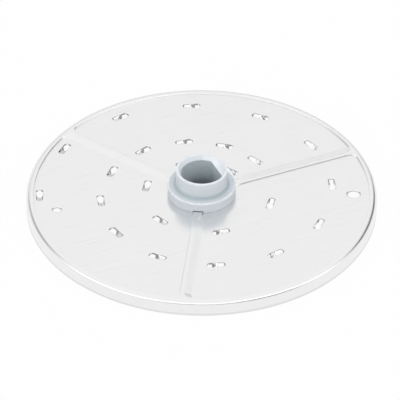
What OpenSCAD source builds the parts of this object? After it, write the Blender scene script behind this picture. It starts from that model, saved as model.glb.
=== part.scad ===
// Fine grating disc of a food processor. A steel pressing carries a spiral of
// scooped teeth, and a plastic hub on it takes the drive shaft from below.
// Millimetres, +Z up, origin under the middle of the rim's lower edge. The flat
// of the drive socket and the first rib point along +X.

/* [Disc] */
// Outer diameter of the disc
disc_d = 175; // [160:1:210]
// Height from the rim's lower edge to the top of the ribs
rim_h = 8.4; // [7.4:0.1:12]
// Thickness of the steel sheet
sheet = 1; // [0.8:0.1:1.2]
// Outside radius of the bend between top and rim
rim_bend_r = 2.5; // [1.5:0.1:3.5]
// Width of the flat raised band inside the bend
band_w = 1.3; // [0.8:0.1:3]

/* [Panels and ribs] */
// Depth of the sunk panels below the ribs
panel_drop = 0.85; // [0.5:0.05:1.2]
// Radius of the two outer corners of each panel
panel_corner_r = 3.5; // [2:0.5:8]
// Width of each raised rib
rib_w = 4.6; // [3:0.1:7]

/* [Teeth] */
// Number of teeth on the spiral
tooth_count = 24; // [18:1:24]
// Length of a tooth along its path
tooth_len = 9.1; // [8:0.1:10]
// Width of a tooth
tooth_w = 3.6; // [3:0.1:4]
// Rounding of a tooth's corners
tooth_corner_r = 1.3; // [0.4:0.1:1.4]
// Length of the open part between the scoop's sheared edge and the cutting end
tooth_open_len = 2.6; // [2:0.1:3.5]
// Depth of the scoop at its shallow end, below the panel's upper face
scoop_start_depth = 0.45; // [0.3:0.05:0.6]
// Depth of the scoop where its floor turns down
scoop_turn_depth = 0.9; // [0.7:0.05:1.1]
// Depth of the scoop at its sheared edge
scoop_depth = 3.1; // [2:0.1:3.4]
// Distance of the floor's turn from the sheared edge
scoop_turn_len = 2.6; // [2:0.1:3.5]
// Upright thickness of the drawn steel in the scoop
scoop_wall = 0.7; // [0.6:0.02:0.76]
// Gap between the outermost tooth and the panel's edge
tooth_edge_gap = 1.1; // [0.8:0.05:3]
// Gap between the hub and the innermost tooth
tooth_hub_gap = 4.05; // [3:0.05:8]

/* [Plate holes] */
// Diameter of the smaller round hole
small_hole_d = 4; // [3:0.1:6]
// Diameter of the larger round hole
large_hole_d = 6.2; // [4:0.1:7]
// Distance of the smaller hole's centre from the panel's edge
small_hole_in = 10.6; // [8:0.1:12]
// Distance of the larger hole's centre from the panel's edge
large_hole_in = 7.8; // [6.5:0.1:9]

/* [Hub] */
// Diameter of the hub's flange
flange_d = 34; // [32:0.5:40]
// Height of the flange above the panels
flange_h = 5.6; // [4:0.1:8]
// Diameter of the collar above the flange
collar_d = 25.6; // [24.4:0.1:29]
// Height of the collar above the flange
collar_h = 8.75; // [6:0.05:14]
// Diameter of the drive socket
bore_d = 20.6; // [18:0.1:21.5]
// Distance from the axis to the flat of the drive socket
flat_at = 8.1; // [7:0.1:8.8]
// Diameter of the round guide below the drive socket
guide_d = 21.2; // [20.8:0.1:22]
// Diameter of the funnel at the collar's top
funnel_d = 23.2; // [22:0.1:23.8]
// Depth of the funnel
funnel_h = 2; // [1:0.1:3]
// Rounding of the flange's upper edge
flange_edge_r = 0.8; // [0.3:0.1:1.5]
// Rounding of the collar's upper edge
collar_edge_r = 0.3; // [0.1:0.1:0.5]
// Diameter of the spigot that passes down through the plate
spigot_d = 25; // [23.4:0.1:26]
// Distance of the spigot's end above the rim's lower edge
spigot_lift = 1.2; // [0.6:0.1:2.5]

/* [Retaining ring] */
// Width of the ring that holds the hub from below, outside the spigot
ring_w = 4.5; // [3:0.1:6.5]
// Thickness of the ring
ring_h = 2.4; // [1.5:0.1:3]
// Chamfer at the ring's lower outer edge
ring_chamfer = 0.6; // [0.2:0.1:1]

/* [Clearances] */
// Gap between the spigot and the plate, all round
spigot_gap = 0.2; // [0.1:0.05:0.5]
// Gap between a rib and each side of its slot in the flange
rib_side_gap = 0.3; // [0.1:0.05:0.6]
// Gap between a rib's top and the top of its slot
rib_top_gap = 0.35; // [0.1:0.05:0.8]

/* [Hidden] */
$fn = 96;

// Ribs, at equal angles from +X
rib_count = 3;
// Direction of the first tooth, the step from tooth to tooth in each of the three
// outer groups and in the innermost one, and the last tooth of each outer group
tooth_start_angle = 158.2;
tooth_steps = [29.3, 29.7, 28.65];
inner_step = 58.9;
last_teeth = [6, 12, 17];
// Directions of the two round holes
small_hole_angle = 167.2;
large_hole_angle = -24.4;
// Overrun of the cuts
cut = 1;

disc_r = disc_d / 2;
panel_r = disc_r - rim_bend_r - band_w;
panel_z = rim_h - panel_drop;
plate_z = panel_z - sheet;
tooth_r = tooth_w / 2;
lip_y = tooth_open_len - tooth_len / 2;
first_tooth_r = panel_r - tooth_edge_gap - tooth_r;
last_tooth_r = flange_d / 2 + tooth_hub_gap + tooth_r;
tooth_r_step = (first_tooth_r - last_tooth_r) / (tooth_count - 1);
bore_r = bore_d / 2;
spigot_r = spigot_d / 2;
ring_r = spigot_r + ring_w;
flange_z = panel_z + flange_h;
collar_z = flange_z + collar_h;
funnel_z = collar_z - funnel_h;

function tooth_angle(n) = tooth_start_angle
    - tooth_steps[0] * min(n, last_teeth[0])
    - tooth_steps[1] * max(0, min(n, last_teeth[1]) - last_teeth[0])
    - tooth_steps[2] * max(0, min(n, last_teeth[2]) - last_teeth[1])
    - inner_step * max(0, n - last_teeth[2]);

// One sunk panel between two ribs, with its outer corners rounded. The outline
// is grown by the given amount for the underside of the pressing.
module panel_outline(grow) {
    half = rib_w / 2 - grow;
    edge = panel_r + grow;
    corner = panel_corner_r + grow;
    sector = 360 / rib_count;
    tip = half / sin(sector / 2);
    along = sqrt(pow(edge - corner, 2) - pow(half + corner, 2));
    intersection() {
        circle(r = edge);
        rotate(sector / 2)
            translate([tip, 0])
                polygon([
                    [0, 0],
                    2 * edge * [cos(sector / 2), -sin(sector / 2)],
                    [2 * edge, 0],
                    2 * edge * [cos(sector / 2), sin(sector / 2)]
                ]);
        union() {
            for (side = [0, 1])
                rotate(side * sector)
                    mirror([0, side])
                        translate([along, half + corner]) circle(r = corner);
            difference() {
                circle(r = edge + cut);
                for (side = [0, 1])
                    rotate(side * sector)
                        mirror([0, side])
                            polygon([
                                [along, 0],
                                [along, half + corner],
                                2 * [along, half + corner],
                                [2 * edge, 0]
                            ]);
            }
        }
    }
}

module panels(grow) {
    for (k = [0 : rib_count - 1])
        rotate(k * 360 / rib_count) panel_outline(grow);
}

// Turned-down rim: flat band, quarter bend and wall
module rim() {
    rotate_extrude($fn = 180)
        union() {
            translate([disc_r - sheet, 0]) square([sheet, rim_h - rim_bend_r]);
            translate([disc_r - rim_bend_r, rim_h - rim_bend_r])
                intersection() {
                    difference() {
                        circle(r = rim_bend_r);
                        circle(r = rim_bend_r - sheet);
                    }
                    square(rim_bend_r);
                }
        }
}

// Outline of a tooth in its own frame: x points outward, the scoop falls towards
// -y, and z is zero on the panel's upper face
module tooth_outline(grow) {
    r = tooth_corner_r + grow;
    x = tooth_r + grow - r;
    y = tooth_len / 2 + grow - r;
    square([2 * (x + r), 2 * y], center = true);
    square([2 * x, 2 * (y + r)], center = true);
    for (i = [-1, 1], j = [-1, 1])
        translate([i * x, j * y]) circle(r = r, $fn = 48);
}

// Block over the whole tooth whose side view is the given outline of y and z
module side_block(side) {
    rotate([90, 0, 90])
        linear_extrude(height = 2 * tooth_w, center = true) polygon(side);
}

// Floor of the scoop in side view, lowered by the given amount
function scoop_floor(lower) = [
    [tooth_len, -scoop_start_depth - lower],
    [tooth_len / 2, -scoop_start_depth - lower],
    [lip_y + scoop_turn_len, -scoop_turn_depth - lower],
    [lip_y, -scoop_depth - lower]
];

// Wall of the scoop that hangs below the panel
module scoop_shell() {
    intersection() {
        translate([0, 0, -tooth_len])
            linear_extrude(height = tooth_len) tooth_outline(scoop_wall);
        side_block(concat(
            scoop_floor(scoop_wall),
            [[lip_y, -sheet / 2], [tooth_len, -sheet / 2]]
        ));
    }
}

// What a tooth takes out of the sheet: the scoop's hollow and the opening
module tooth_cut() {
    intersection() {
        translate([0, 0, -tooth_len])
            linear_extrude(height = 2 * tooth_len) tooth_outline(0);
        side_block(concat(
            scoop_floor(0),
            [[lip_y, -tooth_len], [-tooth_len, -tooth_len], [-tooth_len, cut], [tooth_len, cut]]
        ));
    }
}

module at_tooth(n) {
    rotate(tooth_angle(n))
        translate([first_tooth_r - n * tooth_r_step, 0, panel_z])
            children();
}

module grating_disc() {
    color([0.86, 0.87, 0.88])
        difference() {
            union() {
                rim();
                translate([0, 0, rim_h - sheet])
                    cylinder(r = disc_r - rim_bend_r, h = sheet, $fn = 180);
                translate([0, 0, plate_z])
                    linear_extrude(height = rim_h - plate_z) panels(sheet);
                for (n = [0 : tooth_count - 1]) at_tooth(n) scoop_shell();
            }
            translate([0, 0, panel_z])
                linear_extrude(height = panel_drop + cut) panels(0);
            for (n = [0 : tooth_count - 1]) at_tooth(n) tooth_cut();
            rotate(small_hole_angle)
                translate([panel_r - small_hole_in, 0, plate_z - cut])
                    cylinder(d = small_hole_d, h = sheet + 2 * cut);
            rotate(large_hole_angle)
                translate([panel_r - large_hole_in, 0, plate_z - cut])
                    cylinder(d = large_hole_d, h = sheet + 2 * cut);
            translate([0, 0, plate_z - cut])
                cylinder(r = spigot_r + spigot_gap, h = rim_h - plate_z + 2 * cut);
        }
}

// Half section of a round plate whose upper edge is rounded
module rounded_plate(r, h, edge_r) {
    square([r, h - edge_r]);
    square([r - edge_r, h]);
    translate([r - edge_r, h - edge_r]) circle(r = edge_r, $fn = 48);
}

// Flange with a slot over each rib
module hub_flange() {
    slot_w = rib_w + 2 * rib_side_gap;
    translate([0, 0, panel_z])
        difference() {
            rotate_extrude($fn = 144) rounded_plate(flange_d / 2, flange_h, flange_edge_r);
            for (k = [0 : rib_count - 1])
                rotate(k * 360 / rib_count)
                    translate([0, -slot_w / 2, -cut])
                        cube([flange_d, slot_w, panel_drop + rib_top_gap + cut]);
        }
}

// Drive socket: a round guide at the plate, a D above it and a funnel on top
module drive_socket() {
    translate([0, 0, spigot_lift - cut])
        cylinder(d = guide_d, h = panel_z - spigot_lift + cut);
    translate([0, 0, spigot_lift])
        linear_extrude(height = funnel_z - spigot_lift)
            intersection() {
                circle(r = bore_r);
                translate([-bore_d, -bore_d]) square([bore_d + flat_at, 2 * bore_d]);
            }
    translate([0, 0, funnel_z]) cylinder(r1 = bore_r, r2 = funnel_d / 2, h = funnel_h);
    translate([0, 0, collar_z]) cylinder(r = funnel_d / 2, h = cut);
}

module hub() {
    color([0.68, 0.72, 0.77])
        difference() {
            union() {
                translate([0, 0, spigot_lift]) cylinder(r = spigot_r, h = flange_z - spigot_lift);
                hub_flange();
                translate([0, 0, flange_z])
                    rotate_extrude($fn = 144) rounded_plate(collar_d / 2, collar_h, collar_edge_r);
            }
            drive_socket();
        }
}

module retaining_ring() {
    color([0.68, 0.72, 0.77])
        translate([0, 0, plate_z - ring_h])
            difference() {
                rotate_extrude($fn = 144)
                    polygon([
                        [0, 0],
                        [ring_r - ring_chamfer, 0],
                        [ring_r, ring_chamfer],
                        [ring_r, ring_h],
                        [0, ring_h]
                    ]);
                translate([0, 0, -cut]) cylinder(r = spigot_r, h = ring_h + 2 * cut);
            }
}

grating_disc();
hub();
retaining_ring();
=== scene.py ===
# Looks of the food processor grating disc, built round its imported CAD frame.
# Shapes are worked out in millimetres in the part's own frame: +Z up, the floor
# at zero, and the first rib and the flat of the drive socket along +X.
import math

import bmesh
import bpy
import numpy as np
from mathutils import Matrix, Vector, geometry


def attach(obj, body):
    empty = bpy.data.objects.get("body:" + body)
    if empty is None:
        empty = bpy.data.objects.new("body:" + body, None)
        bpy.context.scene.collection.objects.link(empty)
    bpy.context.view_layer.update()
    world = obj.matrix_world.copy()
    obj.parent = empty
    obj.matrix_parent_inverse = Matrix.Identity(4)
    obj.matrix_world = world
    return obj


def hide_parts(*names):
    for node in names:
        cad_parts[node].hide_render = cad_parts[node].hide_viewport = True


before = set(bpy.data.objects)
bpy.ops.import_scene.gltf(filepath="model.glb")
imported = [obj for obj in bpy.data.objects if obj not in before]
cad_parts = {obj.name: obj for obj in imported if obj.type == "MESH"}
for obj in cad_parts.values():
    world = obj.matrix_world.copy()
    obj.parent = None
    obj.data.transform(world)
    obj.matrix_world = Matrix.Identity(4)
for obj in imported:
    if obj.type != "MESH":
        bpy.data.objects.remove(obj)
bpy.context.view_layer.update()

MM = 0.001
TURN = 2 * math.pi

# Mesh building, in millimetres: points within CLOSE are one while a face is cut into
# triangles, and points within WELD in the finished mesh, where edges under TINY_EDGE
# go too. Triangles lower than SLIVER_H are slivers. Edges that turn by over SHARP stay
# sharp.
CLOSE = 1e-7
WELD = 2e-3
TINY_EDGE = 1e-4
SLIVER_H = 2e-4
SHARP = math.radians(50)

# Disc: one pressing, with raised ribs between sunk panels and a turned-down rim
DISC_R = 87.5
RIM_H = 8.4
SHEET = 1.0
BEND_R = 2.5
BAND_W = 1.3
PANEL_DROP = 0.85
CORNER_R = 3.5
RIB_HALF = 2.3
RIBS = 3
PANEL_R = DISC_R - BEND_R - BAND_W
PANEL_Z = RIM_H - PANEL_DROP
PLATE_Z = PANEL_Z - SHEET
HOLE_R = 12.7
RIM_EDGE_R = 0.2
RIM_WALL_Z = 3.0  # row of points partway up the rim's wall
RIM_ANGLES = [TURN * i / 360 for i in range(360)]

# Steps round a panel: radii of shoulder and foot, where the step is upright and where it
# leans, the lean, and how far the leaning side is moved into its rib. The sloping side
# starts and ends at these distances from the rib's middle, on each face of the plate.
CRISP = (0.12, 0.08)
SOFT = (0.28, 0.12)
LEAN = math.radians(22)
LEAN_IN = 0.3
SLOPE_ABOVE = (-0.2, 4.1)
SLOPE_BELOW = (-0.3, 4.0)
SLOPE_EASE = 0.1
STEP_STRIP = 0.06  # flat strip kept beyond a step's shoulder and foot
SHOULDER_STEPS = 6
FOOT_STEPS = 4

# A rib's sides: upright by the hub, and in their own form this far beyond SIDE_FROM
SIDE_FROM = 17.4
SIDE_CHANGE = 7.2
SIDE_STATIONS = (14.2, 15.8, 17.4, 18.4, 19.4, 20.4, 21.4, 22.4, 23.4, 24.6, 34, 44, 54, 64)
CORNER_STEPS = 12
PANEL_ARC_STEPS = 60
HUB_ARC_STEPS = 36
RIB_END_STEPS = 8

# Plain holes: radius, distance in from the panel's edge and direction in degrees
PLAIN_HOLES = ((2.0, 10.6, 167.2), (3.1, 7.8, -24.4))
HOLE_TOP_R = 0.8
HOLE_LOW_R = 0.15
HOLE_STRIP = 0.1
HOLE_COUNT = 48

# Teeth: a blunt slot, and a scoop that falls from one end of it to a lip in front of the
# opening. Lengths lie along the slot, and depths are counted from the panel.
TEETH = 24
TOOTH_LEN = 9.1
TOOTH_R = 1.8
END_LEN = 1.6
END_POWER = 2.6
END_STEPS = 8
OPEN_LEN = 2.6
START_DEPTH = 0.45
TURN_DEPTH = 0.9
SCOOP_DEPTH = 3.1
TURN_LEN = 2.6
TURN_EASE = 0.45
SCOOP_WALL = 0.7
LIP_Y = OPEN_LEN - TOOTH_LEN / 2
TURN_Y = LIP_Y + TURN_LEN
END_Y = TOOTH_LEN / 2 - END_LEN
SCOOP_STATIONS = (-1.4, -1.0, -0.6, -0.2, 0.1, 0.4, 0.7, 1.0, 1.4, 1.9, 2.4)
FLOOR_SHARES = (0.6, 0.2)  # points across the scoop's floor

# Width of the scoop's curved sides: inside, what it loses at the lip, and outside. The
# outer face's outline is grown from the slot's, and the lip's two edges are bevelled.
SIDE_W = 1.0
SIDE_LOSS = 0.45
OUTER_SIDE_W = 0.7
OUTER_GROW = 0.6
LIP_BEVEL = 0.05

# Rolled edge of the opening, as (out, depth) pairs, and the length over which the lip's
# cross-section turns into it. Flat strips are kept round a tooth's edges on both faces.
OPEN_EDGE = ((0.1, 0), (0.03, 0.03), (0, 0.12), (0, SHEET))
OPEN_BLEND = 0.5
OPEN_STATIONS = (0.0, 0.12, 0.3, 0.5, 0.75)
STRIP_ABOVE = 0.1
STRIP_SCOOP = 0.15
STRIP_OPEN = 0.08
STRIP_MIN = 0.02

# Spiral: the first tooth's direction in degrees, the steps up to each of these teeth and
# beyond the last of them, and the first and last tooth's distance from the axis
START = 158.2
STEPS = (29.3, 29.7, 28.65)
LAST_STEP = 58.9
LAST_TEETH = (6, 12, 17)
FIRST_R = 80.8
LAST_R = 22.85

# Hub and ring
FLANGE_R = 17.0
COLLAR_R = 12.8
SPIGOT_R = 12.5
BORE_R = 10.3
FLAT_X = 8.1
GUIDE_R = 10.6
FUNNEL_R = 11.6
FUNNEL_H = 2.0
FLANGE_Z = PANEL_Z + 5.6
COLLAR_Z = FLANGE_Z + 8.75
FUNNEL_Z = COLLAR_Z - FUNNEL_H
SPIGOT_Z = 1.2
SLOT_HALF = 2.6
SLOT_Z = PANEL_Z + 1.2
RING_R = 17.0
RING_H = 2.4
FLANGE_EDGE_R = 0.8
FLANGE_FOOT_R = 0.15
FILLET_R = 0.45
COLLAR_EDGE_R = 0.3
FUNNEL_EDGE_R = 0.12
SPIGOT_EDGE = 0.3
RING_CHAMFER = 0.6
RING_EDGE_R = 0.2
RING_COUNT = 144

# Columns of points round the hub in one third of a turn: over a slot, from a slot to an
# edge of the socket's flat, and all of those between two slots
SLOT_COLUMNS = 6
FLAT_COLUMNS = 9
WALL_COLUMNS = 34


class Shell:
    """Points in millimetres and faces, joined where points coincide."""

    def __init__(self):
        self.points = []
        self.faces = []

    def add(self, row):
        """Adds points. Returns their numbers."""
        first = len(self.points)
        self.points.extend(tuple(map(float, p)) for p in row)
        return list(range(first, len(self.points)))

    def between(self, a, b, closed=False):
        """Faces between two rows of point numbers."""
        n = len(a)
        for i in range(n if closed else n - 1):
            j = (i + 1) % n
            self.faces.append((a[i], a[j], b[j], b[i]))

    def sweep(self, rows, closed=False):
        """Adds rows of points, with faces from each row to the next."""
        made = [self.add(r) for r in rows]
        for a, b in zip(made, made[1:]):
            self.between(a, b, closed)

    def take(self, other, place):
        """Adds a copy of another shell, with its points moved by place."""
        first = len(self.points)
        self.points.extend(map(tuple, place(np.array(other.points))))
        self.faces.extend(tuple(first + i for i in f) for f in other.faces)

    def flat(self, loops, z):
        """Fills the flat region between closed loops of (x, y) points."""
        points, edges = [], []
        for loop in loops:
            first, n = len(points), len(loop)
            points.extend(Vector((float(p[0]), float(p[1]))) for p in loop)
            edges.extend((first + i, first + (i + 1) % n) for i in range(n))
        co, _, tris, *_ = geometry.delaunay_2d_cdt(points, edges, [], 0, CLOSE)
        xy = np.array([tuple(p) for p in co])
        tris = np.array([t for t in tris if len(t) == 3])
        mid = xy[tris].mean(axis=1)
        inside = np.zeros(len(mid), bool)
        for loop in loops:
            a = np.array([(p[0], p[1]) for p in loop], float)
            b = np.roll(a, -1, axis=0)
            for (ax, ay), (bx, by) in zip(a, b):
                if ay != by:
                    cross = (ay > mid[:, 1]) != (by > mid[:, 1])
                    cross &= mid[:, 0] < ax + (mid[:, 1] - ay) / (by - ay) * (bx - ax)
                    inside ^= cross
        # A sliver on a straight run of points goes with its neighbour across its long edge
        sides = np.linalg.norm(xy[tris] - xy[np.roll(tris, -1, axis=1)], axis=2)
        u, v = xy[tris[:, 1]] - xy[tris[:, 0]], xy[tris[:, 2]] - xy[tris[:, 0]]
        height = np.abs(u[:, 0] * v[:, 1] - u[:, 1] * v[:, 0]) / sides.max(axis=1)
        owners = {}
        for t, tri in enumerate(tris.tolist()):
            for i in range(3):
                owners.setdefault(frozenset((tri[i], tri[(i + 1) % 3])), []).append(t)
        slivers = [t for t in np.argsort(-sides.max(axis=1)) if height[t] < SLIVER_H]
        for t in slivers:
            i = int(np.argmax(sides[t]))
            edge = frozenset((int(tris[t][i]), int(tris[t][(i + 1) % 3])))
            inside[t] = any(inside[o] for o in owners[edge] if o != t)
        first = len(self.points)
        self.points.extend((x, y, z) for x, y in xy)
        self.faces.extend(tuple(first + i for i in t) for t in tris[inside].tolist())

    def zip_loops(self, a, b):
        """Joins two closed loops that go once round the axis and have different counts."""
        rings = []
        for loop in (a, b):
            turn = np.unwrap([math.atan2(p[1], p[0]) for p in loop])
            index = self.add(loop)
            rings.append((index + index[:1], list(turn) + [turn[0] + TURN]))
        (ia, ta), (ib, tb) = rings
        i = j = 0
        while i < len(ia) - 1 or j < len(ib) - 1:
            if j == len(ib) - 1 or (i < len(ia) - 1 and ta[i + 1] <= tb[j + 1]):
                self.faces.append((ia[i], ia[i + 1], ib[j]))
                i += 1
            else:
                self.faces.append((ia[i], ib[j + 1], ib[j]))
                j += 1

    def build(self, name, material):
        """Makes the mesh object, smooth but for its sharp edges."""
        mesh = bpy.data.meshes.new(name)
        mesh.from_pydata([(x * MM, y * MM, z * MM) for x, y, z in self.points], [], self.faces)
        bm = bmesh.new()
        bm.from_mesh(mesh)
        bmesh.ops.remove_doubles(bm, verts=bm.verts, dist=WELD * MM)
        bmesh.ops.dissolve_degenerate(bm, edges=bm.edges, dist=TINY_EDGE * MM)
        bmesh.ops.recalc_face_normals(bm, faces=bm.faces)
        bm.to_mesh(mesh)
        bm.free()
        mesh.polygons.foreach_set("use_smooth", [True] * len(mesh.polygons))
        mesh.set_sharp_from_angle(angle=SHARP)
        mesh.materials.append(material)
        obj = bpy.data.objects.new(name, mesh)
        bpy.context.collection.objects.link(obj)
        return obj


def spin(profile, angles):
    """Rows of points: each (r, z) of the profile carried round the axis."""
    return [[(r * math.cos(a), r * math.sin(a), z) for a in angles] for r, z in profile]


def arc(cx, cz, r, start, end, steps):
    """Points on an arc, with angles in degrees. A negative radius makes it hollow."""
    return [
        (cx + r * math.cos(math.radians(t)), cz + r * math.sin(math.radians(t)))
        for t in np.linspace(start, end, steps + 1)
    ]


def smooth(t):
    """Smooth rise from 0 to 1."""
    t = min(1.0, max(0.0, t))
    return t * t * (3 - 2 * t)


def unsmooth(v):
    """The t at which smooth(t) is v."""
    return 0.5 - math.sin(math.asin(1 - 2 * v) / 3)


# ---------------------------------------------------------------- teeth
def floor_depth(y):
    """Depth of the scoop's floor: shallow from the blunt end, then turning down to the lip."""
    shallow = (TURN_DEPTH - START_DEPTH) / (TOOTH_LEN / 2 - TURN_Y)
    steep = (SCOOP_DEPTH - TURN_DEPTH) / TURN_LEN
    past = TURN_Y - y
    if abs(past) > TURN_EASE:
        beyond = max(0.0, past)
    else:
        beyond = (past + TURN_EASE) ** 2 / (4 * TURN_EASE)
    return START_DEPTH + shallow * (TOOTH_LEN / 2 - y) + (steep - shallow) * beyond


def end_points(grow):
    """Blunt end of a tooth, from its +x side to just before the tip: points and directions."""
    a, b = TOOTH_R + grow, END_LEN + grow
    made = []
    for t in np.linspace(0, math.pi / 2, END_STEPS + 1)[:-1]:
        c, s = math.cos(t), math.sin(t)
        x, y = a * c ** (2 / END_POWER), b * s ** (2 / END_POWER)
        n = Vector(((x / a) ** (END_POWER - 1) / a, (y / b) ** (END_POWER - 1) / b)).normalized()
        made.append(((x, END_Y + y), (n.x, n.y)))
    return made


def scoop_face(shell, grow, base, lower, side_width, shares):
    """
    One face of the scoop. Its edge is an outline grown from the slot's, at depth base,
    and its floor lies lower than the scoop's floor. The curved sides have points at
    these shares of their width. Returns its cross-section at the lip and its edge loop.
    """
    def side_depth(y, share):
        return base + (floor_depth(y) + lower - base) * smooth(share)

    stations = (LIP_Y, LIP_Y + 0.06, LIP_Y + 0.2) + SCOOP_STATIONS
    outline = [((TOOTH_R + grow, y), (1.0, 0.0)) for y in stations] + end_points(grow)
    rows, edge = [], []
    for (x, y), n in outline:
        half = []
        for q in shares:
            px, py = x - q * side_width(y) * n[0], y - q * side_width(y) * n[1]
            half.append((px, py, -side_depth(py, q)))
        px, py, _ = half[-1]
        half += [(px * t, py, -floor_depth(py) - lower) for t in FLOOR_SHARES]
        rows.append(half + [(-a, b, c) for a, b, c in reversed(half)])
        edge.append(((x, y, -base), n))
    shell.sweep(rows)

    # The tip closes the blunt end
    tip_y = TOOTH_LEN / 2 + grow
    tip_ys = [tip_y - q * side_width(TOOTH_LEN / 2) for q in shares]
    middle = shell.add([(0.0, y, -side_depth(y, q)) for y, q in zip(tip_ys, shares)])
    last, n = rows[-1], len(shares)
    for half in (last[:n], last[-1 : -n - 1 : -1]):
        shell.between(shell.add(half), middle)
    inner = shell.add(last[n - 1 : len(last) - n + 1])
    for i, j in zip(inner, inner[1:]):
        shell.faces.append((i, j, middle[-1]))
    loop = edge + [((0.0, tip_y, -base), (0.0, 1.0))]
    loop += [((-p[0], p[1], p[2]), (-m[0], m[1])) for p, m in reversed(edge)]
    return rows[0], loop


def tooth_template():
    """
    One tooth in its own frame: x outward, the opening towards -y, z zero on the panel.
    Returns its shell and the loops that it leaves in the panel's upper and lower face.
    """
    shell = Shell()
    cut = unsmooth(SHEET / SCOOP_DEPTH)
    inner = (0, cut * 0.35, cut * 0.7, cut, cut + 0.12, cut + 0.26, 0.8, 0.92, 1)
    outer = (0, 0.15, 0.35, 0.6, 0.85, 1)

    def inner_width(y):
        return SIDE_W - SIDE_LOSS * smooth((TURN_Y - y) / TURN_LEN)

    in_row, top_edge = scoop_face(shell, 0.0, 0.0, 0.0, inner_width, inner)
    out_row, low_edge = scoop_face(
        shell, OUTER_GROW, SHEET, SCOOP_WALL, lambda y: OUTER_SIDE_W, outer
    )

    # Sheared lip between the two faces of the scoop, below the opening's edge
    first = len(OPEN_EDGE) - 1
    a = np.array(in_row[first : len(in_row) - first])
    b = np.array(out_row)
    way = LIP_BEVEL * (b - a) / np.linalg.norm(b - a, axis=1)[:, None]
    lip_rows = [a, a + way, b - way, b]
    shell.sweep(lip_rows)

    # Opening: its outline from the lip's +x end round to the -x end
    half = [((TOOTH_R, LIP_Y - y), (1.0, 0.0)) for y in OPEN_STATIONS]
    half += [((x, -y), (n[0], -n[1])) for (x, y), n in end_points(0.0)]
    path = half + [((0.0, -TOOTH_LEN / 2), (0.0, -1.0))]
    path += [((-x, y), (-n[0], n[1])) for (x, y), n in reversed(half)]
    wall = [[] for _ in OPEN_EDGE]
    for (x, y), m in path:
        share = smooth((LIP_Y - y) / OPEN_BLEND)
        for row, (out, depth), lip in zip(wall, OPEN_EDGE, in_row):
            o = share * out - (1 - share) * (TOOTH_R - lip[0])
            z = (1 - share) * lip[2] - share * depth
            row.append((x + o * m[0], y + o * m[1], z))
    shell.sweep(wall)

    def strip(edge, outside, z):
        """Flat strip from an edge loop to an outer loop. Returns the outer loop."""
        a = shell.add(edge)
        b = shell.add([(x, y, z) for x, y in outside])
        shell.between(a, b, closed=True)
        return np.array(outside)

    def beside(p, m, width):
        return p[0] + width * m[0], p[1] + width * m[1]

    # Upper loop: the scoop's edge, then the opening's
    loop = top_edge[:-1] + [(p, m) for p, (_, m) in reversed(list(zip(wall[0], path)))][:-1]
    top = strip([p for p, _ in loop], [beside(p, m, STRIP_ABOVE) for p, m in loop], 0.0)

    # Lower loop: the scoop's edge, the lip's upper line, then the opening's
    under = LIP_Y - STRIP_OPEN
    low = [(p, beside(p, m, STRIP_SCOOP)) for p, m in low_edge]
    for i in (0, -1):
        edge, outside = low[i]
        low[i] = (edge, (outside[0], under))
    corner = [tuple(lip_rows[2][-1]), tuple(lip_rows[1][-1])]
    low += [(p, (p[0], under)) for p in corner]
    for i, (p, (_, m)) in enumerate(reversed(list(zip(wall[-1], path)))):
        if i in (0, len(path) - 1):
            low.append((p, (p[0] + STRIP_MIN * m[0], under)))
        else:
            x, y = beside(p, m, STRIP_OPEN)
            low.append((p, (x, min(under - STRIP_MIN, y))))
    low += [((-p[0], p[1], p[2]), (-p[0], under)) for p in reversed(corner)]
    bottom = strip([p for p, _ in low], [q for _, q in low], -SHEET)
    return shell, top, bottom


def tooth_place(n):
    """Function that moves points from a tooth's frame to tooth n on the spiral."""
    steps = [min(n, LAST_TEETH[0])]
    steps += [max(0, min(n, b) - a) for a, b in zip(LAST_TEETH, LAST_TEETH[1:])]
    angle = START - sum(s * k for s, k in zip(STEPS, steps))
    angle -= LAST_STEP * max(0, n - LAST_TEETH[2])
    r = FIRST_R - n * (FIRST_R - LAST_R) / (TEETH - 1)
    c, s = math.cos(math.radians(angle)), math.sin(math.radians(angle))

    def place(p):
        p = np.asarray(p, float)
        x, y = p[:, 0] + r, p[:, 1]
        out = [x * c - y * s, x * s + y * c]
        if p.shape[1] == 3:
            out.append(p[:, 2] + PANEL_Z)
        return np.stack(out, axis=1)

    return place


# ---------------------------------------------------------------- disc
def step_profile(shoulder, foot, lean, top, bottom):
    """
    Step down at a panel's outline: (offset, z), positive offsets on the raised side.
    It has a round shoulder and foot, and between them a wall that leans this much.
    """
    turn = math.pi / 2 - lean
    low = bottom + foot * (1 - math.cos(turn))
    high = top - shoulder * (1 - math.cos(turn))
    run = (high - low) * math.tan(lean) / 2
    rows = []
    for t in np.linspace(0, turn, SHOULDER_STEPS + 1):
        offset = run + shoulder * (math.sin(turn) - math.sin(t))
        rows.append((offset, top - shoulder * (1 - math.cos(t))))
    for t in np.linspace(turn, 0, FOOT_STEPS + 1):
        offset = foot * (math.sin(t) - math.sin(turn)) - run
        rows.append((offset, bottom + foot * (1 - math.cos(t))))
    return rows


def slope_offset(share, ends):
    """Offset on a rib's sloping side at a share of its depth: straight but for its ends."""
    near, straight = min(share, 1 - share), 1 - SLOPE_EASE
    if near < SLOPE_EASE / (2 * straight):
        t = math.sqrt(2 * SLOPE_EASE * straight * near)
    else:
        t = near * straight + SLOPE_EASE / 2
    return ends[0] + (ends[1] - ends[0]) * (t if share < 0.5 else 1 - t)


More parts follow.
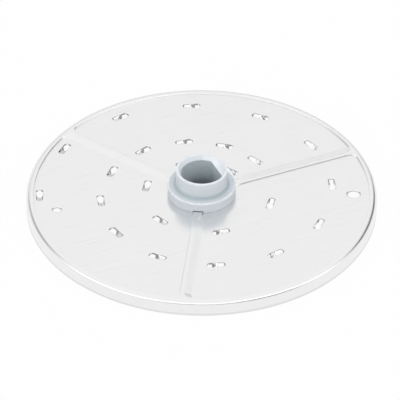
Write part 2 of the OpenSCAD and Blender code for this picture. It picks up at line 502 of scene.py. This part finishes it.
def panel_line(k, grow, crisp, sloping, leaning):
    """
    Outline of panel k, from the hub hole out along a rib, round and back. Offsets
    move it outwards: sloping beside the first rib, leaning beside the second one,
    and crisp along the rim and at the hub.
    """
    half, edge, corner = RIB_HALF - grow, PANEL_R + grow, CORNER_R + grow
    along = math.sqrt((edge - corner) ** 2 - (half + corner) ** 2)
    gamma = math.atan2(half + corner, along)

    def side(offset):
        made = [(math.sqrt(HOLE_R**2 - (half - crisp) ** 2), half - crisp)]
        for x in (*SIDE_STATIONS, along):
            share = smooth((x - SIDE_FROM) / SIDE_CHANGE)
            made.append((x, half - crisp - share * (offset - crisp)))
        for t in np.linspace(0, 1, CORNER_STEPS + 1)[1:]:
            share = 1 - smooth(t)
            r = corner + crisp + share * (offset - crisp)
            turn = -math.pi / 2 + t * (gamma + math.pi / 2)
            made.append((along + r * math.cos(turn), half + corner + r * math.sin(turn)))
        return made

    sector = TURN / RIBS
    r = edge + crisp
    turns = np.linspace(gamma, sector - gamma, PANEL_ARC_STEPS + 1)[1:-1]
    rim = [(r * math.cos(t), r * math.sin(t)) for t in turns]
    c, s = math.cos(sector), math.sin(sector)
    back = [(x * c + y * s, x * s - y * c) for x, y in reversed(side(leaning))]
    c, s = math.cos(k * sector), math.sin(k * sector)
    return [(x * c - y * s, x * s + y * c) for x, y in side(sloping) + rim + back]


def hub_arc(a, b, steps):
    """Points on the hub hole between two of its points, ends left out."""
    start = math.atan2(a[1], a[0])
    turn = (math.atan2(b[1], b[0]) - start + math.pi) % TURN - math.pi
    turns = [start + turn * i / steps for i in range(1, steps)]
    return [(HOLE_R * math.cos(t), HOLE_R * math.sin(t)) for t in turns]


def plate_face(shell, raised_z, grow, crisp, soft, slope, rim_r, cuts):
    """
    Upper or lower face of the plate: raised flat, steps and the three panels, with
    the loops of the teeth and holes cut out. Returns its edge at the hub hole.
    """
    low_z = raised_z - PANEL_DROP
    ends = [RIB_HALF - grow - t for t in slope]
    upright = step_profile(*crisp, 0.0, raised_z, low_z)
    leaning = step_profile(*soft, LEAN, raised_z, low_z)
    profile = []
    for (a, _), (b, z) in zip(upright, leaning):
        profile.append((a, slope_offset((raised_z - z) / PANEL_DROP, ends), b + LEAN_IN, z))
    profile = [(*(o + STEP_STRIP for o in profile[0][:3]), raised_z)] + profile
    profile += [(*(o - STEP_STRIP for o in profile[-1][:3]), low_z)]
    raised_loop, hub_edge = [], []
    outer = [panel_line(k, grow, *profile[0][:3]) for k in range(RIBS)]
    inner = [panel_line(k, grow, *profile[-1][:3]) for k in range(RIBS)]
    for k in range(RIBS):
        rows = [[(x, y, row[3]) for x, y in panel_line(k, grow, *row[:3])] for row in profile]
        shell.sweep(rows)
        rib_end = hub_arc(outer[k][-1], outer[(k + 1) % RIBS][0], RIB_END_STEPS)
        raised_loop += outer[k] + rib_end
        close = hub_arc(inner[k][-1], inner[k][0], HUB_ARC_STEPS)
        hub_edge += [r[0] for r in rows]
        hub_edge += [(x, y, low_z) for x, y in reversed(close)]
        hub_edge += [r[-1] for r in reversed(rows)]
        hub_edge += [(x, y, raised_z) for x, y in rib_end]
        shell.flat([inner[k] + close] + [c for c in cuts if in_panel(c, k)], low_z)
    rim_loop = [(rim_r * math.cos(t), rim_r * math.sin(t)) for t in RIM_ANGLES]
    shell.flat([rim_loop, raised_loop], raised_z)
    return hub_edge


def round_holes():
    """Radius and centre of each plain hole."""
    made = []
    for r, inset, direction in PLAIN_HOLES:
        at, t = PANEL_R - inset, math.radians(direction)
        made.append((r, at * math.cos(t), at * math.sin(t)))
    return made


def in_panel(loop, k):
    """True if the loop's middle lies in panel k."""
    x, y = np.mean(loop, axis=0)
    return int((math.atan2(y, x) % TURN) / (TURN / RIBS)) == k


def make_disc(material):
    shell = Shell()
    tooth, top_loop, low_loop = tooth_template()
    top_cuts, low_cuts = [], []
    for n in range(TEETH):
        place = tooth_place(n)
        shell.take(tooth, place)
        top_cuts.append(place(top_loop))
        low_cuts.append(place(low_loop))

    round_hole = [TURN * i / HOLE_COUNT for i in range(HOLE_COUNT)]
    for r, cx, cy in round_holes():
        profile = [(r + HOLE_TOP_R + HOLE_STRIP, PANEL_Z)]
        profile += arc(r + HOLE_TOP_R, PANEL_Z - HOLE_TOP_R, -HOLE_TOP_R, -90, 0, 10)
        profile += arc(r + HOLE_LOW_R, PLATE_Z + HOLE_LOW_R, -HOLE_LOW_R, 0, 90, 3)
        profile += [(r + HOLE_LOW_R + HOLE_STRIP, PLATE_Z)]
        rows = [[(x + cx, y + cy, z) for x, y, z in row] for row in spin(profile, round_hole)]
        shell.sweep(rows, closed=True)
        top_cuts.append([(x, y) for x, y, _ in rows[0]])
        low_cuts.append([(x, y) for x, y, _ in rows[-1]])

    # Rim: from the band over the bend and down the wall, then back up inside
    bend_r, bend_z = DISC_R - BEND_R, RIM_H - BEND_R
    inside_r = DISC_R - SHEET
    band_in, under_in = bend_r - 0.1, bend_r - 0.01
    rim = [(band_in, RIM_H)] + arc(bend_r, bend_z, BEND_R, 90, 0, 12) + [(DISC_R, RIM_WALL_Z)]
    rim += arc(DISC_R - RIM_EDGE_R, RIM_EDGE_R, RIM_EDGE_R, 0, -90, 4)
    rim += arc(inside_r + RIM_EDGE_R, RIM_EDGE_R, RIM_EDGE_R, -90, -180, 4)
    rim += [(inside_r, RIM_WALL_Z)] + arc(bend_r, bend_z, BEND_R - SHEET, 0, 90, 8)
    rim += [(under_in, RIM_H - SHEET)]
    shell.sweep(spin(rim, RIM_ANGLES), closed=True)

    # What is a shoulder above is a foot below
    upper = plate_face(shell, RIM_H, 0.0, CRISP, SOFT, SLOPE_ABOVE, band_in, top_cuts)
    lower = plate_face(
        shell, RIM_H - SHEET, SHEET, CRISP[::-1], SOFT[::-1], SLOPE_BELOW, under_in, low_cuts
    )
    shell.zip_loops(upper, lower)
    return shell.build("disc_detail", material)


# ---------------------------------------------------------------- hub
def hub_angles(r):
    """Directions round the hub, with one at each slot edge and each edge of the flat."""
    slot = math.degrees(math.asin(SLOT_HALF / max(r, SPIGOT_R)))
    flat = math.degrees(math.acos(FLAT_X / BORE_R))
    third = 360 / RIBS
    beyond = WALL_COLUMNS - FLAT_COLUMNS
    thirds = (
        ((slot, flat, FLAT_COLUMNS), (flat, third - slot, beyond)),
        ((slot, third - slot, WALL_COLUMNS),),
        ((slot, third - flat, beyond), (third - flat, third - slot, FLAT_COLUMNS)),
    )
    turn = []
    for k, spans in enumerate(thirds):
        for a, b, n in ((-slot, slot, SLOT_COLUMNS), *spans):
            turn += [math.radians(k * third + t) for t in np.linspace(a, b, n + 1)[:-1]]
    return turn


def in_slot(i):
    """True for the columns of points that cross a rib's slot."""
    return i % (SLOT_COLUMNS + WALL_COLUMNS) < SLOT_COLUMNS


def beside_slot(i):
    return not in_slot(i)


def make_hub(material):
    shell = Shell()

    def row(r, z):
        return [(r * math.cos(a), r * math.sin(a), z) for a in hub_angles(r)]

    def d_row(z):
        """Outline of the D socket."""
        made = []
        for a in hub_angles(BORE_R):
            r = min(BORE_R, FLAT_X / math.cos(a)) if math.cos(a) > 0 else BORE_R
            made.append((r * math.cos(a), r * math.sin(a), z))
        return made

    def join(rows, keep=lambda i: True):
        """Faces between closed rows, for the columns that are kept."""
        made = [shell.add(r) for r in rows]
        n = len(made[0])
        for a, b in zip(made, made[1:]):
            for i in filter(keep, range(n)):
                j = (i + 1) % n
                shell.faces.append((a[i], a[j], b[j], b[i]))

    # Flange wall below the slots' ceiling, then up over the flange and the collar
    foot_r = FLANGE_R - FLANGE_FOOT_R
    low = arc(foot_r, PANEL_Z + FLANGE_FOOT_R, FLANGE_FOOT_R, -90, 0, 2) + [(FLANGE_R, SLOT_Z)]
    join([row(r, z) for r, z in low], keep=beside_slot)
    up = [(FLANGE_R, SLOT_Z), (FLANGE_R, FLANGE_Z - 2.5)]
    up += arc(FLANGE_R - FLANGE_EDGE_R, FLANGE_Z - FLANGE_EDGE_R, FLANGE_EDGE_R, 0, 90, 8)
    up += [(COLLAR_R + FILLET_R + 0.15, FLANGE_Z)]
    up += arc(COLLAR_R + FILLET_R, FLANGE_Z + FILLET_R, -FILLET_R, 90, 0, 6)
    up += [(COLLAR_R, COLLAR_Z - 1.0)]
    up += arc(COLLAR_R - COLLAR_EDGE_R, COLLAR_Z - COLLAR_EDGE_R, COLLAR_EDGE_R, 0, 90, 5)
    up += arc(FUNNEL_R + FUNNEL_EDGE_R, COLLAR_Z - FUNNEL_EDGE_R, FUNNEL_EDGE_R, 90, 150, 3)
    funnel_rise = FUNNEL_H / (FUNNEL_R - BORE_R)
    up += [(BORE_R + 0.1, FUNNEL_Z + 0.1 * funnel_rise), (BORE_R, FUNNEL_Z)]
    join([row(r, z) for r, z in up])

    # D socket down to the round guide, then round the spigot's end and back up
    join([row(BORE_R, FUNNEL_Z), d_row(FUNNEL_Z)])
    join([d_row(FUNNEL_Z), d_row(FUNNEL_Z - 0.15), d_row(PANEL_Z)])
    join([d_row(PANEL_Z), row(GUIDE_R, PANEL_Z)])
    end_r, end_z = SPIGOT_R - SPIGOT_EDGE, SPIGOT_Z + SPIGOT_EDGE
    guide = [(GUIDE_R, PANEL_Z), (GUIDE_R, end_z), (GUIDE_R + SPIGOT_EDGE, SPIGOT_Z)]
    guide += [(end_r, SPIGOT_Z)] + arc(end_r, end_z, SPIGOT_EDGE, -90, 0, 3)[1:]
    guide += [(SPIGOT_R, PANEL_Z)]
    join([row(r, z) for r, z in guide])

    # Flange's underside, and each slot's end wall, ceiling and two side walls
    join([row(SPIGOT_R, PANEL_Z), row(foot_r, PANEL_Z)], keep=beside_slot)
    join([row(SPIGOT_R, PANEL_Z), row(SPIGOT_R, SLOT_Z)], keep=in_slot)
    join([row(SPIGOT_R, SLOT_Z), row(FLANGE_R, SLOT_Z)], keep=in_slot)
    for k in range(RIBS):
        first = k * (SLOT_COLUMNS + WALL_COLUMNS)
        for i in (first, first + SLOT_COLUMNS):
            side = [row(r, z)[i] for r, z in low]
            side += [row(SPIGOT_R, SLOT_Z)[i], row(SPIGOT_R, PANEL_Z)[i]]
            shell.faces.append(tuple(shell.add(side)))
    return shell.build("hub_detail", material)


def make_ring(material):
    """Retaining ring under the plate, chamfered below at its outer edge."""
    z = PLATE_Z - RING_H
    profile = [(SPIGOT_R, z + RING_EDGE_R), (SPIGOT_R + RING_EDGE_R, z)]
    profile += [(RING_R - RING_CHAMFER, z), (RING_R - RING_CHAMFER / 4, z + 0.75 * RING_CHAMFER)]
    profile += [(RING_R, z + RING_CHAMFER + RING_EDGE_R)]
    profile += arc(RING_R - RING_EDGE_R, PLATE_Z - RING_EDGE_R, RING_EDGE_R, 0, 90, 3)
    profile += [(SPIGOT_R, PLATE_Z), (SPIGOT_R, z + RING_EDGE_R)]
    shell = Shell()
    shell.sweep(spin(profile, [TURN * i / RING_COUNT for i in range(RING_COUNT)]), closed=True)
    return shell.build("ring_detail", material)


# ---------------------------------------------------------------- materials
class Graph:
    """Node tree of a material or world, with helpers for its arithmetic."""

    def __init__(self, tree):
        self.nodes, self.links = tree.nodes, tree.links

    def feed(self, socket, value):
        """Sets a socket to a plain value, or links it to another node's output."""
        if isinstance(value, (int, float, tuple)):
            socket.default_value = value
        else:
            self.links.new(value, socket)

    def calc(self, kind, a, b=0.0):
        n = self.nodes.new("ShaderNodeMath")
        n.operation = kind
        self.feed(n.inputs[0], a)
        self.feed(n.inputs[1], b)
        return n.outputs[0]

    def times(self, first, *more):
        for value in more:
            first = self.calc("MULTIPLY", first, value)
        return first

    def less(self, a, b):
        return self.calc("SUBTRACT", a, b)

    def length(self, a, b):
        """Length of the flat vector (a, b)."""
        return self.calc("SQRT", self.calc("ADD", self.times(a, a), self.times(b, b)))

    def spread(self, source, low, high, first, last, kind="LINEAR"):
        """Maps low to first and high to last, and holds both ends."""
        n = self.nodes.new("ShaderNodeMapRange")
        n.interpolation_type = kind
        if low > high:
            low, high, first, last = high, low, last, first
        n.inputs["From Min"].default_value = low
        n.inputs["From Max"].default_value = high
        n.inputs["To Min"].default_value = first
        n.inputs["To Max"].default_value = last
        self.links.new(source, n.inputs["Value"])
        return n.outputs["Result"]

    def fade(self, source, low, high):
        """Rises smoothly from 0 at low to 1 at high, and falls where low is above high."""
        return self.spread(source, low, high, 0.0, 1.0, "SMOOTHSTEP")

    def spot(self, source, centre, inner, outer):
        """One within inner of the centre, none beyond outer."""
        return self.fade(self.calc("ABSOLUTE", self.less(source, centre)), outer, inner)

    def near(self, r, z, at, inner, outer):
        """One close to a circle round the axis, given as (radius, height)."""
        return self.fade(self.length(self.less(r, at[0]), self.less(z, at[1])), outer, inner)

    def noise(self, place, scale, detail, stretch=(1, 1, 1)):
        turn = self.nodes.new("ShaderNodeMapping")
        turn.inputs["Scale"].default_value = stretch
        self.links.new(place, turn.inputs["Vector"])
        n = self.nodes.new("ShaderNodeTexNoise")
        n.inputs["Scale"].default_value = scale
        n.inputs["Detail"].default_value = detail
        self.links.new(turn.outputs["Vector"], n.inputs["Vector"])
        return n.outputs["Fac"]

    def bump(self, height, strength, distance, normal=None):
        n = self.nodes.new("ShaderNodeBump")
        n.inputs["Strength"].default_value = strength
        n.inputs["Distance"].default_value = distance
        self.links.new(height, n.inputs["Height"])
        if normal:
            self.links.new(normal, n.inputs["Normal"])
        return n.outputs["Normal"]

    def blend(self, share, a, b):
        """Colour a where the share is 0, colour b where it is 1."""
        n = self.nodes.new("ShaderNodeMix")
        n.data_type = "RGBA"
        self.feed(n.inputs[0], share)
        self.feed(n.inputs[6], a)
        self.feed(n.inputs[7], b)
        return n.outputs[2]

    def place(self):
        """Position on the object, then x, y, distance from the axis and height in millimetres."""
        at = self.nodes.new("ShaderNodeTexCoord").outputs["Object"]
        axes = self.nodes.new("ShaderNodeSeparateXYZ")
        self.links.new(at, axes.inputs[0])
        x, y, z = (axes.outputs[i] for i in range(3))
        return (at, *(self.calc("DIVIDE", v, MM) for v in (x, y, self.length(x, y), z)))


def material(name):
    m = bpy.data.materials.new(name)
    m.use_nodes = True
    return m, Graph(m.node_tree), m.node_tree.nodes["Principled BSDF"]


def steel():
    warm, cool = (0.88, 0.875, 0.872, 1), (0.862, 0.866, 0.87, 1)
    streak, scoop_painted_light = (0.75, 0.75, 0.76, 1), (0.97, 0.97, 0.97, 1)
    cut_edge, rim_contact_shade = (0.36, 0.36, 0.37, 1), (0.66, 0.66, 0.67, 1)
    m, g, bsdf = material("satin_steel")
    bsdf.inputs["Metallic"].default_value = 1.0
    at, x, y, r, z = g.place()

    # Where it applies: the scoops but not the plain holes or the flat underside, the cut edges of
    # the slots, and a painted line of contact shade along the rim's lower edge, where it meets
    # the floor
    depth = g.less(PANEL_Z, z)
    on_plate = g.fade(r, PANEL_R + 0.3, PANEL_R - 0.3)
    for hole_r, cx, cy in round_holes():
        away = g.length(g.less(x, cx), g.less(y, cy))
        on_plate = g.times(on_plate, g.fade(away, hole_r + 1.0, hole_r + 1.2))
    not_under = g.less(1.0, g.spot(depth, SHEET, 0.02, 0.05))
    # Pressed scoops: smoother, and painted lighter as a highlight so they read bright
    pressed = g.times(g.fade(depth, 0.24, 0.36), not_under, on_plate)
    burr = g.times(g.spot(depth, 0.17, 0.08, 0.15), on_plate)
    # Painted contact shade: a darker line low on the rim's wall, next to the floor
    foot = g.times(g.spot(z, 0.9, 0.2, 0.7), g.fade(r, DISC_R - 0.4, DISC_R - 0.2))
    cloud = g.noise(at, 55, 4)
    speck = g.noise(at, 1400, 3)
    rolled = g.noise(at, 900, 2, (0.06, 1, 1))

    # Sheet with faint clouds and rolling marks, the pressed scoops painted lighter as a
    # highlight, and a painted shade line at the rim's foot
    look = g.blend(cloud, warm, cool)
    look = g.blend(g.spread(rolled, 0.62, 0.75, 0.0, 0.25), look, streak)
    look = g.blend(pressed, look, scoop_painted_light)
    look = g.blend(g.times(burr, 0.85), look, cut_edge)
    look = g.blend(g.times(foot, 0.5), look, rim_contact_shade)
    g.links.new(look, bsdf.inputs["Base Color"])

    rough = g.spread(cloud, 0.0, 1.0, 0.19, 0.27)
    rough = g.calc("ADD", rough, g.spread(rolled, 0.3, 0.7, -0.02, 0.02))
    rough = g.less(rough, g.times(pressed, 0.08))
    g.links.new(rough, bsdf.inputs["Roughness"])
    relief = g.bump(rolled, 0.02, 0.0001, g.bump(speck, 0.03, 0.0002))
    g.links.new(relief, bsdf.inputs["Normal"])
    return m


def plastic():
    blue, pale_blue = (0.63, 0.685, 0.73, 1), (0.66, 0.70, 0.745, 1)
    painted_top_light, wear_and_edge_highlight = (0.80, 0.86, 0.90, 1), (0.86, 0.90, 0.93, 1)
    shaded, lit_flat = (0.38, 0.46, 0.50, 1), (0.94, 0.96, 1.0, 1)
    bore_shade_top, bore_shade_deep = (0.55, 0.62, 0.64, 1), (0.22, 0.23, 0.29, 1)
    m, g, bsdf = material("hub_plastic")
    at, x, y, r, z = g.place()
    cloud = g.noise(at, 130, 4)
    grain = g.noise(at, 900, 2)
    scuffs = g.noise(at, 420, 5)

    # Where it applies: the bore, painted in shade; the thin top, painted lighter; painted
    # highlights and wear on the edges; painted shade in the crease at the collar's foot; a
    # painted highlight on the ledge beside the socket's flat
    inside = g.fade(r, GUIDE_R + 0.1, GUIDE_R + 0.05)
    inside = g.times(inside, g.fade(z, FUNNEL_Z, FUNNEL_Z - 0.1))
    # Painted light: the hub is made lighter towards its thin top edge, most inside the collar's
    # rim
    top = g.fade(z, FUNNEL_Z - 2.5, FUNNEL_Z + 1.0)
    top = g.times(top, g.spread(r, COLLAR_R - 0.1, COLLAR_R - 0.5, 0.35, 1.0))
    # Painted highlights along the flange's and collar's edges, broken up by scuffs; the lower
    # roughness there is wear
    edges = g.calc(
        "MAXIMUM",
        g.near(r, z, (FLANGE_R - 0.3, FLANGE_Z - 0.3), 0.3, 0.8),
        g.near(r, z, (COLLAR_R - 0.3, COLLAR_Z), 0.4, 1.0),
    )
    edges = g.times(edges, g.spread(scuffs, 0.3, 0.6, 0.55, 1.0))
    # Painted shade in the crease at the collar's foot
    crease = g.near(r, z, (COLLAR_R + 0.2, FLANGE_Z + 0.2), 0.4, 1.9)
    ledge = g.times(g.fade(x, 3.5, 6.5), g.fade(r, 12.0, 11.0))
    ledge = g.times(ledge, g.fade(z, FUNNEL_Z - 0.05, FUNNEL_Z - 0.03))
    ledge = g.times(ledge, g.spread(y, 0.0, 6.0, 0.25, 0.9))

    # Painted lighter at the thin top edge, painted highlights along corners, painted shade in the
    # crease and down the bore
    look = g.blend(cloud, blue, pale_blue)
    look = g.blend(g.times(top, 0.7), look, painted_top_light)
    look = g.blend(g.times(edges, 0.8), look, wear_and_edge_highlight)
    look = g.blend(g.times(crease, 0.6), look, shaded)
    # Painted shade: the bore is darkened, more so the deeper it goes
    look = g.blend(inside, look, g.blend(g.fade(z, 13, 4), bore_shade_top, bore_shade_deep))
    look = g.blend(ledge, look, lit_flat)
    g.links.new(look, bsdf.inputs["Base Color"])

    rough = g.less(g.spread(scuffs, 0.3, 0.7, 0.27, 0.38), g.times(edges, 0.05))
    g.links.new(rough, bsdf.inputs["Roughness"])
    g.links.new(g.bump(grain, 0.08, 0.0002), bsdf.inputs["Normal"])
    return m


# ---------------------------------------------------------------- stage
PHOTO_TURN = -math.radians(24)  # turn of the camera round the object
PHOTO_PIXELS = 400
SENSOR_W = 36
FLOOR_SIZE = 8
FLOOR_WHITE = 0.93
SEEN_WHITE = 0.95  # share of the floor's white that the camera sees
UNDER_DISC = 0.2  # the same for reflections under the disc, which paints a shadow there


def make_floor():
    """White floor that keeps the object's shadow. Its reflection under the disc gets little
    of the white: a painted shadow in the disc's outline, over the real shadow there."""
    bpy.ops.mesh.primitive_plane_add(size=FLOOR_SIZE)
    floor = bpy.context.object
    floor.name = "floor"
    m, g, bsdf = material("floor_white")
    bsdf.inputs["Base Color"].default_value = (FLOOR_WHITE, FLOOR_WHITE, FLOOR_WHITE, 1)
    bsdf.inputs["Roughness"].default_value = 0.9
    rays = g.nodes.new("ShaderNodeLightPath").outputs
    r = g.place()[3]
    # Painted shadow: reflections of the floor under the disc lose most of their white, so the
    # real shadow shows
    outside_painted_shadow = g.spread(r, 0.99 * DISC_R, 1.01 * DISC_R, UNDER_DISC, 1.0)
    seen = g.times(rays["Is Camera Ray"], SEEN_WHITE)
    mirrored = g.times(rays["Is Glossy Ray"], outside_painted_shadow)
    mix = g.nodes.new("ShaderNodeMixShader")
    g.links.new(g.calc("MAXIMUM", seen, mirrored), mix.inputs[0])
    g.links.new(bsdf.outputs[0], mix.inputs[1])
    g.links.new(g.nodes.new("ShaderNodeEmission").outputs[0], mix.inputs[2])
    g.links.new(mix.outputs[0], g.nodes["Material Output"].inputs[0])
    floor.data.materials.append(m)


def make_world():
    """
    White tent with gaps and a lamp, as the photograph's reflections show them. Places
    are in degrees: round from the back of the picture to the right, and up.
    """
    world = bpy.data.worlds.new("tent")
    bpy.context.scene.world = world
    world.use_nodes = True
    g = Graph(world.node_tree)
    place = g.nodes.new("ShaderNodeTexCoord")
    turn = g.nodes.new("ShaderNodeMapping")
    turn.inputs["Rotation"].default_value = (0, 0, -PHOTO_TURN)
    axes = g.nodes.new("ShaderNodeSeparateXYZ")
    g.links.new(place.outputs["Generated"], turn.inputs["Vector"])
    g.links.new(turn.outputs["Vector"], axes.inputs[0])

    degree = 180 / math.pi
    across = g.times(g.calc("ARCTAN2", axes.outputs["X"], axes.outputs["Y"]), degree)
    up = g.times(g.calc("ARCSINE", axes.outputs["Z"]), degree)
    from_back = g.calc("ABSOLUTE", across)
    from_front = g.calc("ABSOLUTE", g.less(from_back, 180))

    def rise_and_fall(low, full, end, top):
        return g.times(g.fade(up, low, full), g.fade(up, top, end))

    # Lamp band along the front half, higher at the right front
    low_right = 138
    lamp_up = g.calc("ADD", 18, g.times(g.spot(across, low_right, 14, 30), 12))
    lamps = g.times(g.fade(from_back, 85, 105), g.spot(g.less(up, lamp_up), 0, 3, 10))
    level = g.calc("ADD", 1.0, g.times(lamps, 0.9))

    # Gaps: their share round, their share up, and how much light they take away
    gaps = (
        (g.spot(across, 50, 14, 36), rise_and_fall(7, 18, 31, 38), 0.9),
        (g.spot(across, -55, 12, 34), rise_and_fall(7, 18, 33, 43), 0.55),
        (g.spot(across, 0, 14, 28), g.spot(up, 24, 3, 7), 0.45),
        (g.fade(from_front, 35, 15), g.spot(up, 0, 8, 20), 0.6),
        (g.fade(from_back, 70, 100), g.spot(up, -2, 4, 12), 0.3),
        (g.spot(across, low_right, 12, 24), g.spot(up, 8, 9, 20), 0.5),
    )
    for share_round, share_up, taken in gaps:
        level = g.less(level, g.times(share_round, share_up, taken))
    background = g.nodes["Background"]
    g.links.new(g.calc("MAXIMUM", level, 0.05), background.inputs["Color"])
    background.inputs["Strength"].default_value = 1.0


def make_camera():
    """Camera fitted to the photograph: rim, rib edges and tooth spiral."""
    elevation, distance, focal = 0.658581349, 1.7, 3419.83 / PHOTO_PIXELS
    aim_x, aim_y, roll = -0.000791, -0.007390, 0.004647
    ce, se = math.cos(elevation), math.sin(elevation)
    forward, right, up = Vector((0, ce, -se)), Vector((1, 0, 0)), Vector((0, se, ce))
    right, up = (
        math.cos(roll) * right + math.sin(roll) * up,
        math.cos(roll) * up - math.sin(roll) * right,
    )
    matrix = Matrix((right, up, -forward)).transposed().to_4x4()
    matrix.translation = (aim_x, aim_y - distance * ce, distance * se + RIM_H * MM)
    data = bpy.data.cameras.new("camera")
    data.sensor_width = SENSOR_W
    data.lens = focal * SENSOR_W
    data.clip_end = 20
    camera = bpy.data.objects.new("camera", data)
    bpy.context.collection.objects.link(camera)
    camera.matrix_world = Matrix.Rotation(PHOTO_TURN, 4, "Z") @ matrix
    bpy.context.scene.camera = camera


make_camera()
make_floor()
make_world()
metal, hub_look = steel(), plastic()
for make, look, node, slot in (
    (make_disc, metal, "grating_disc", "steel_sheet"),
    (make_hub, hub_look, "hub", "hub_plastic"),
    (make_ring, hub_look, "retaining_ring", "hub_plastic"),
):
    piece = make(look)
    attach(piece, "root")
    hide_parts(node)

bpy.context.scene.view_settings.view_transform = "Standard"
